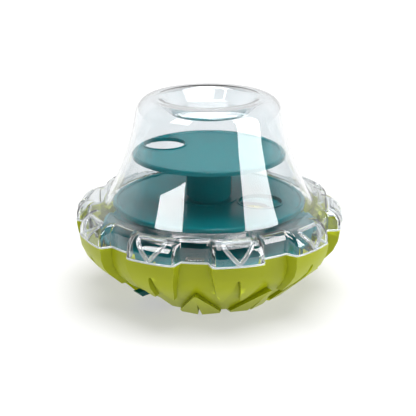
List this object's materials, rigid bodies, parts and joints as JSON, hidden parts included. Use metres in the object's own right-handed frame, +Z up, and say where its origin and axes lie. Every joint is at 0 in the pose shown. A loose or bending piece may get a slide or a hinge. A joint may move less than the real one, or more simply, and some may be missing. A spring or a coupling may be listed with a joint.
{
  "type": "treat ball",
  "caption": "Weighted rocking treat ball: clear bell cover on a petalled bowl, turning trays inside that drop dry food from level to level, and an outlet with a sliding shutter.",
  "frame": {"origin": "centre of the ring of feet, on the ground plane", "axes": "+Z up along the toy's axis of symmetry, -Y towards its front, the outlet on the left of the front"},
  "size_m": [0.191, 0.19, 0.1405],
  "materials": {
    "green_plastic": "satin moulded",
    "teal_plastic": "glossy moulded",
    "clear_plastic": "clear polished plastic",
    "steel": "plain"
  },
  "bodies": {
    "base": {"base_shell": "green_plastic", "shutter_guide": "teal_plastic", "guide_screws": "steel", "ballast_weight": "steel", "weight_cover": "teal_plastic", "weight_cover_screws": "steel", "base_tray": "teal_plastic"},
    "lower tray": {"lower_tray": "teal_plastic"},
    "upper tray": {"upper_tray": "teal_plastic"},
    "shutter": {"outlet_shutter": "teal_plastic"},
    "cover": {"clear_cover": "clear_plastic"}
  },
  "joints": [
    {"name": "cover_lift", "type": "slide", "parent": "base", "child": "cover", "axis": [0, 0, 1], "range_m": [0, 0.1]},
    {"name": "lower_tray_turn", "type": "hinge", "parent": "base", "child": "lower tray", "pos_m": [0, 0, 0.055], "axis": [0, 0, 1], "continuous": true},
    {"name": "upper_tray_turn", "type": "hinge", "parent": "lower tray", "child": "upper tray", "pos_m": [0, 0, 0.08], "axis": [0, 0, 1], "continuous": true},
    {"name": "outlet_shutter_turn", "type": "hinge", "parent": "base", "child": "shutter", "pos_m": [0, 0, 0.012], "axis": [0, 0, 1], "range_deg": [-3, 12]}
  ]
}
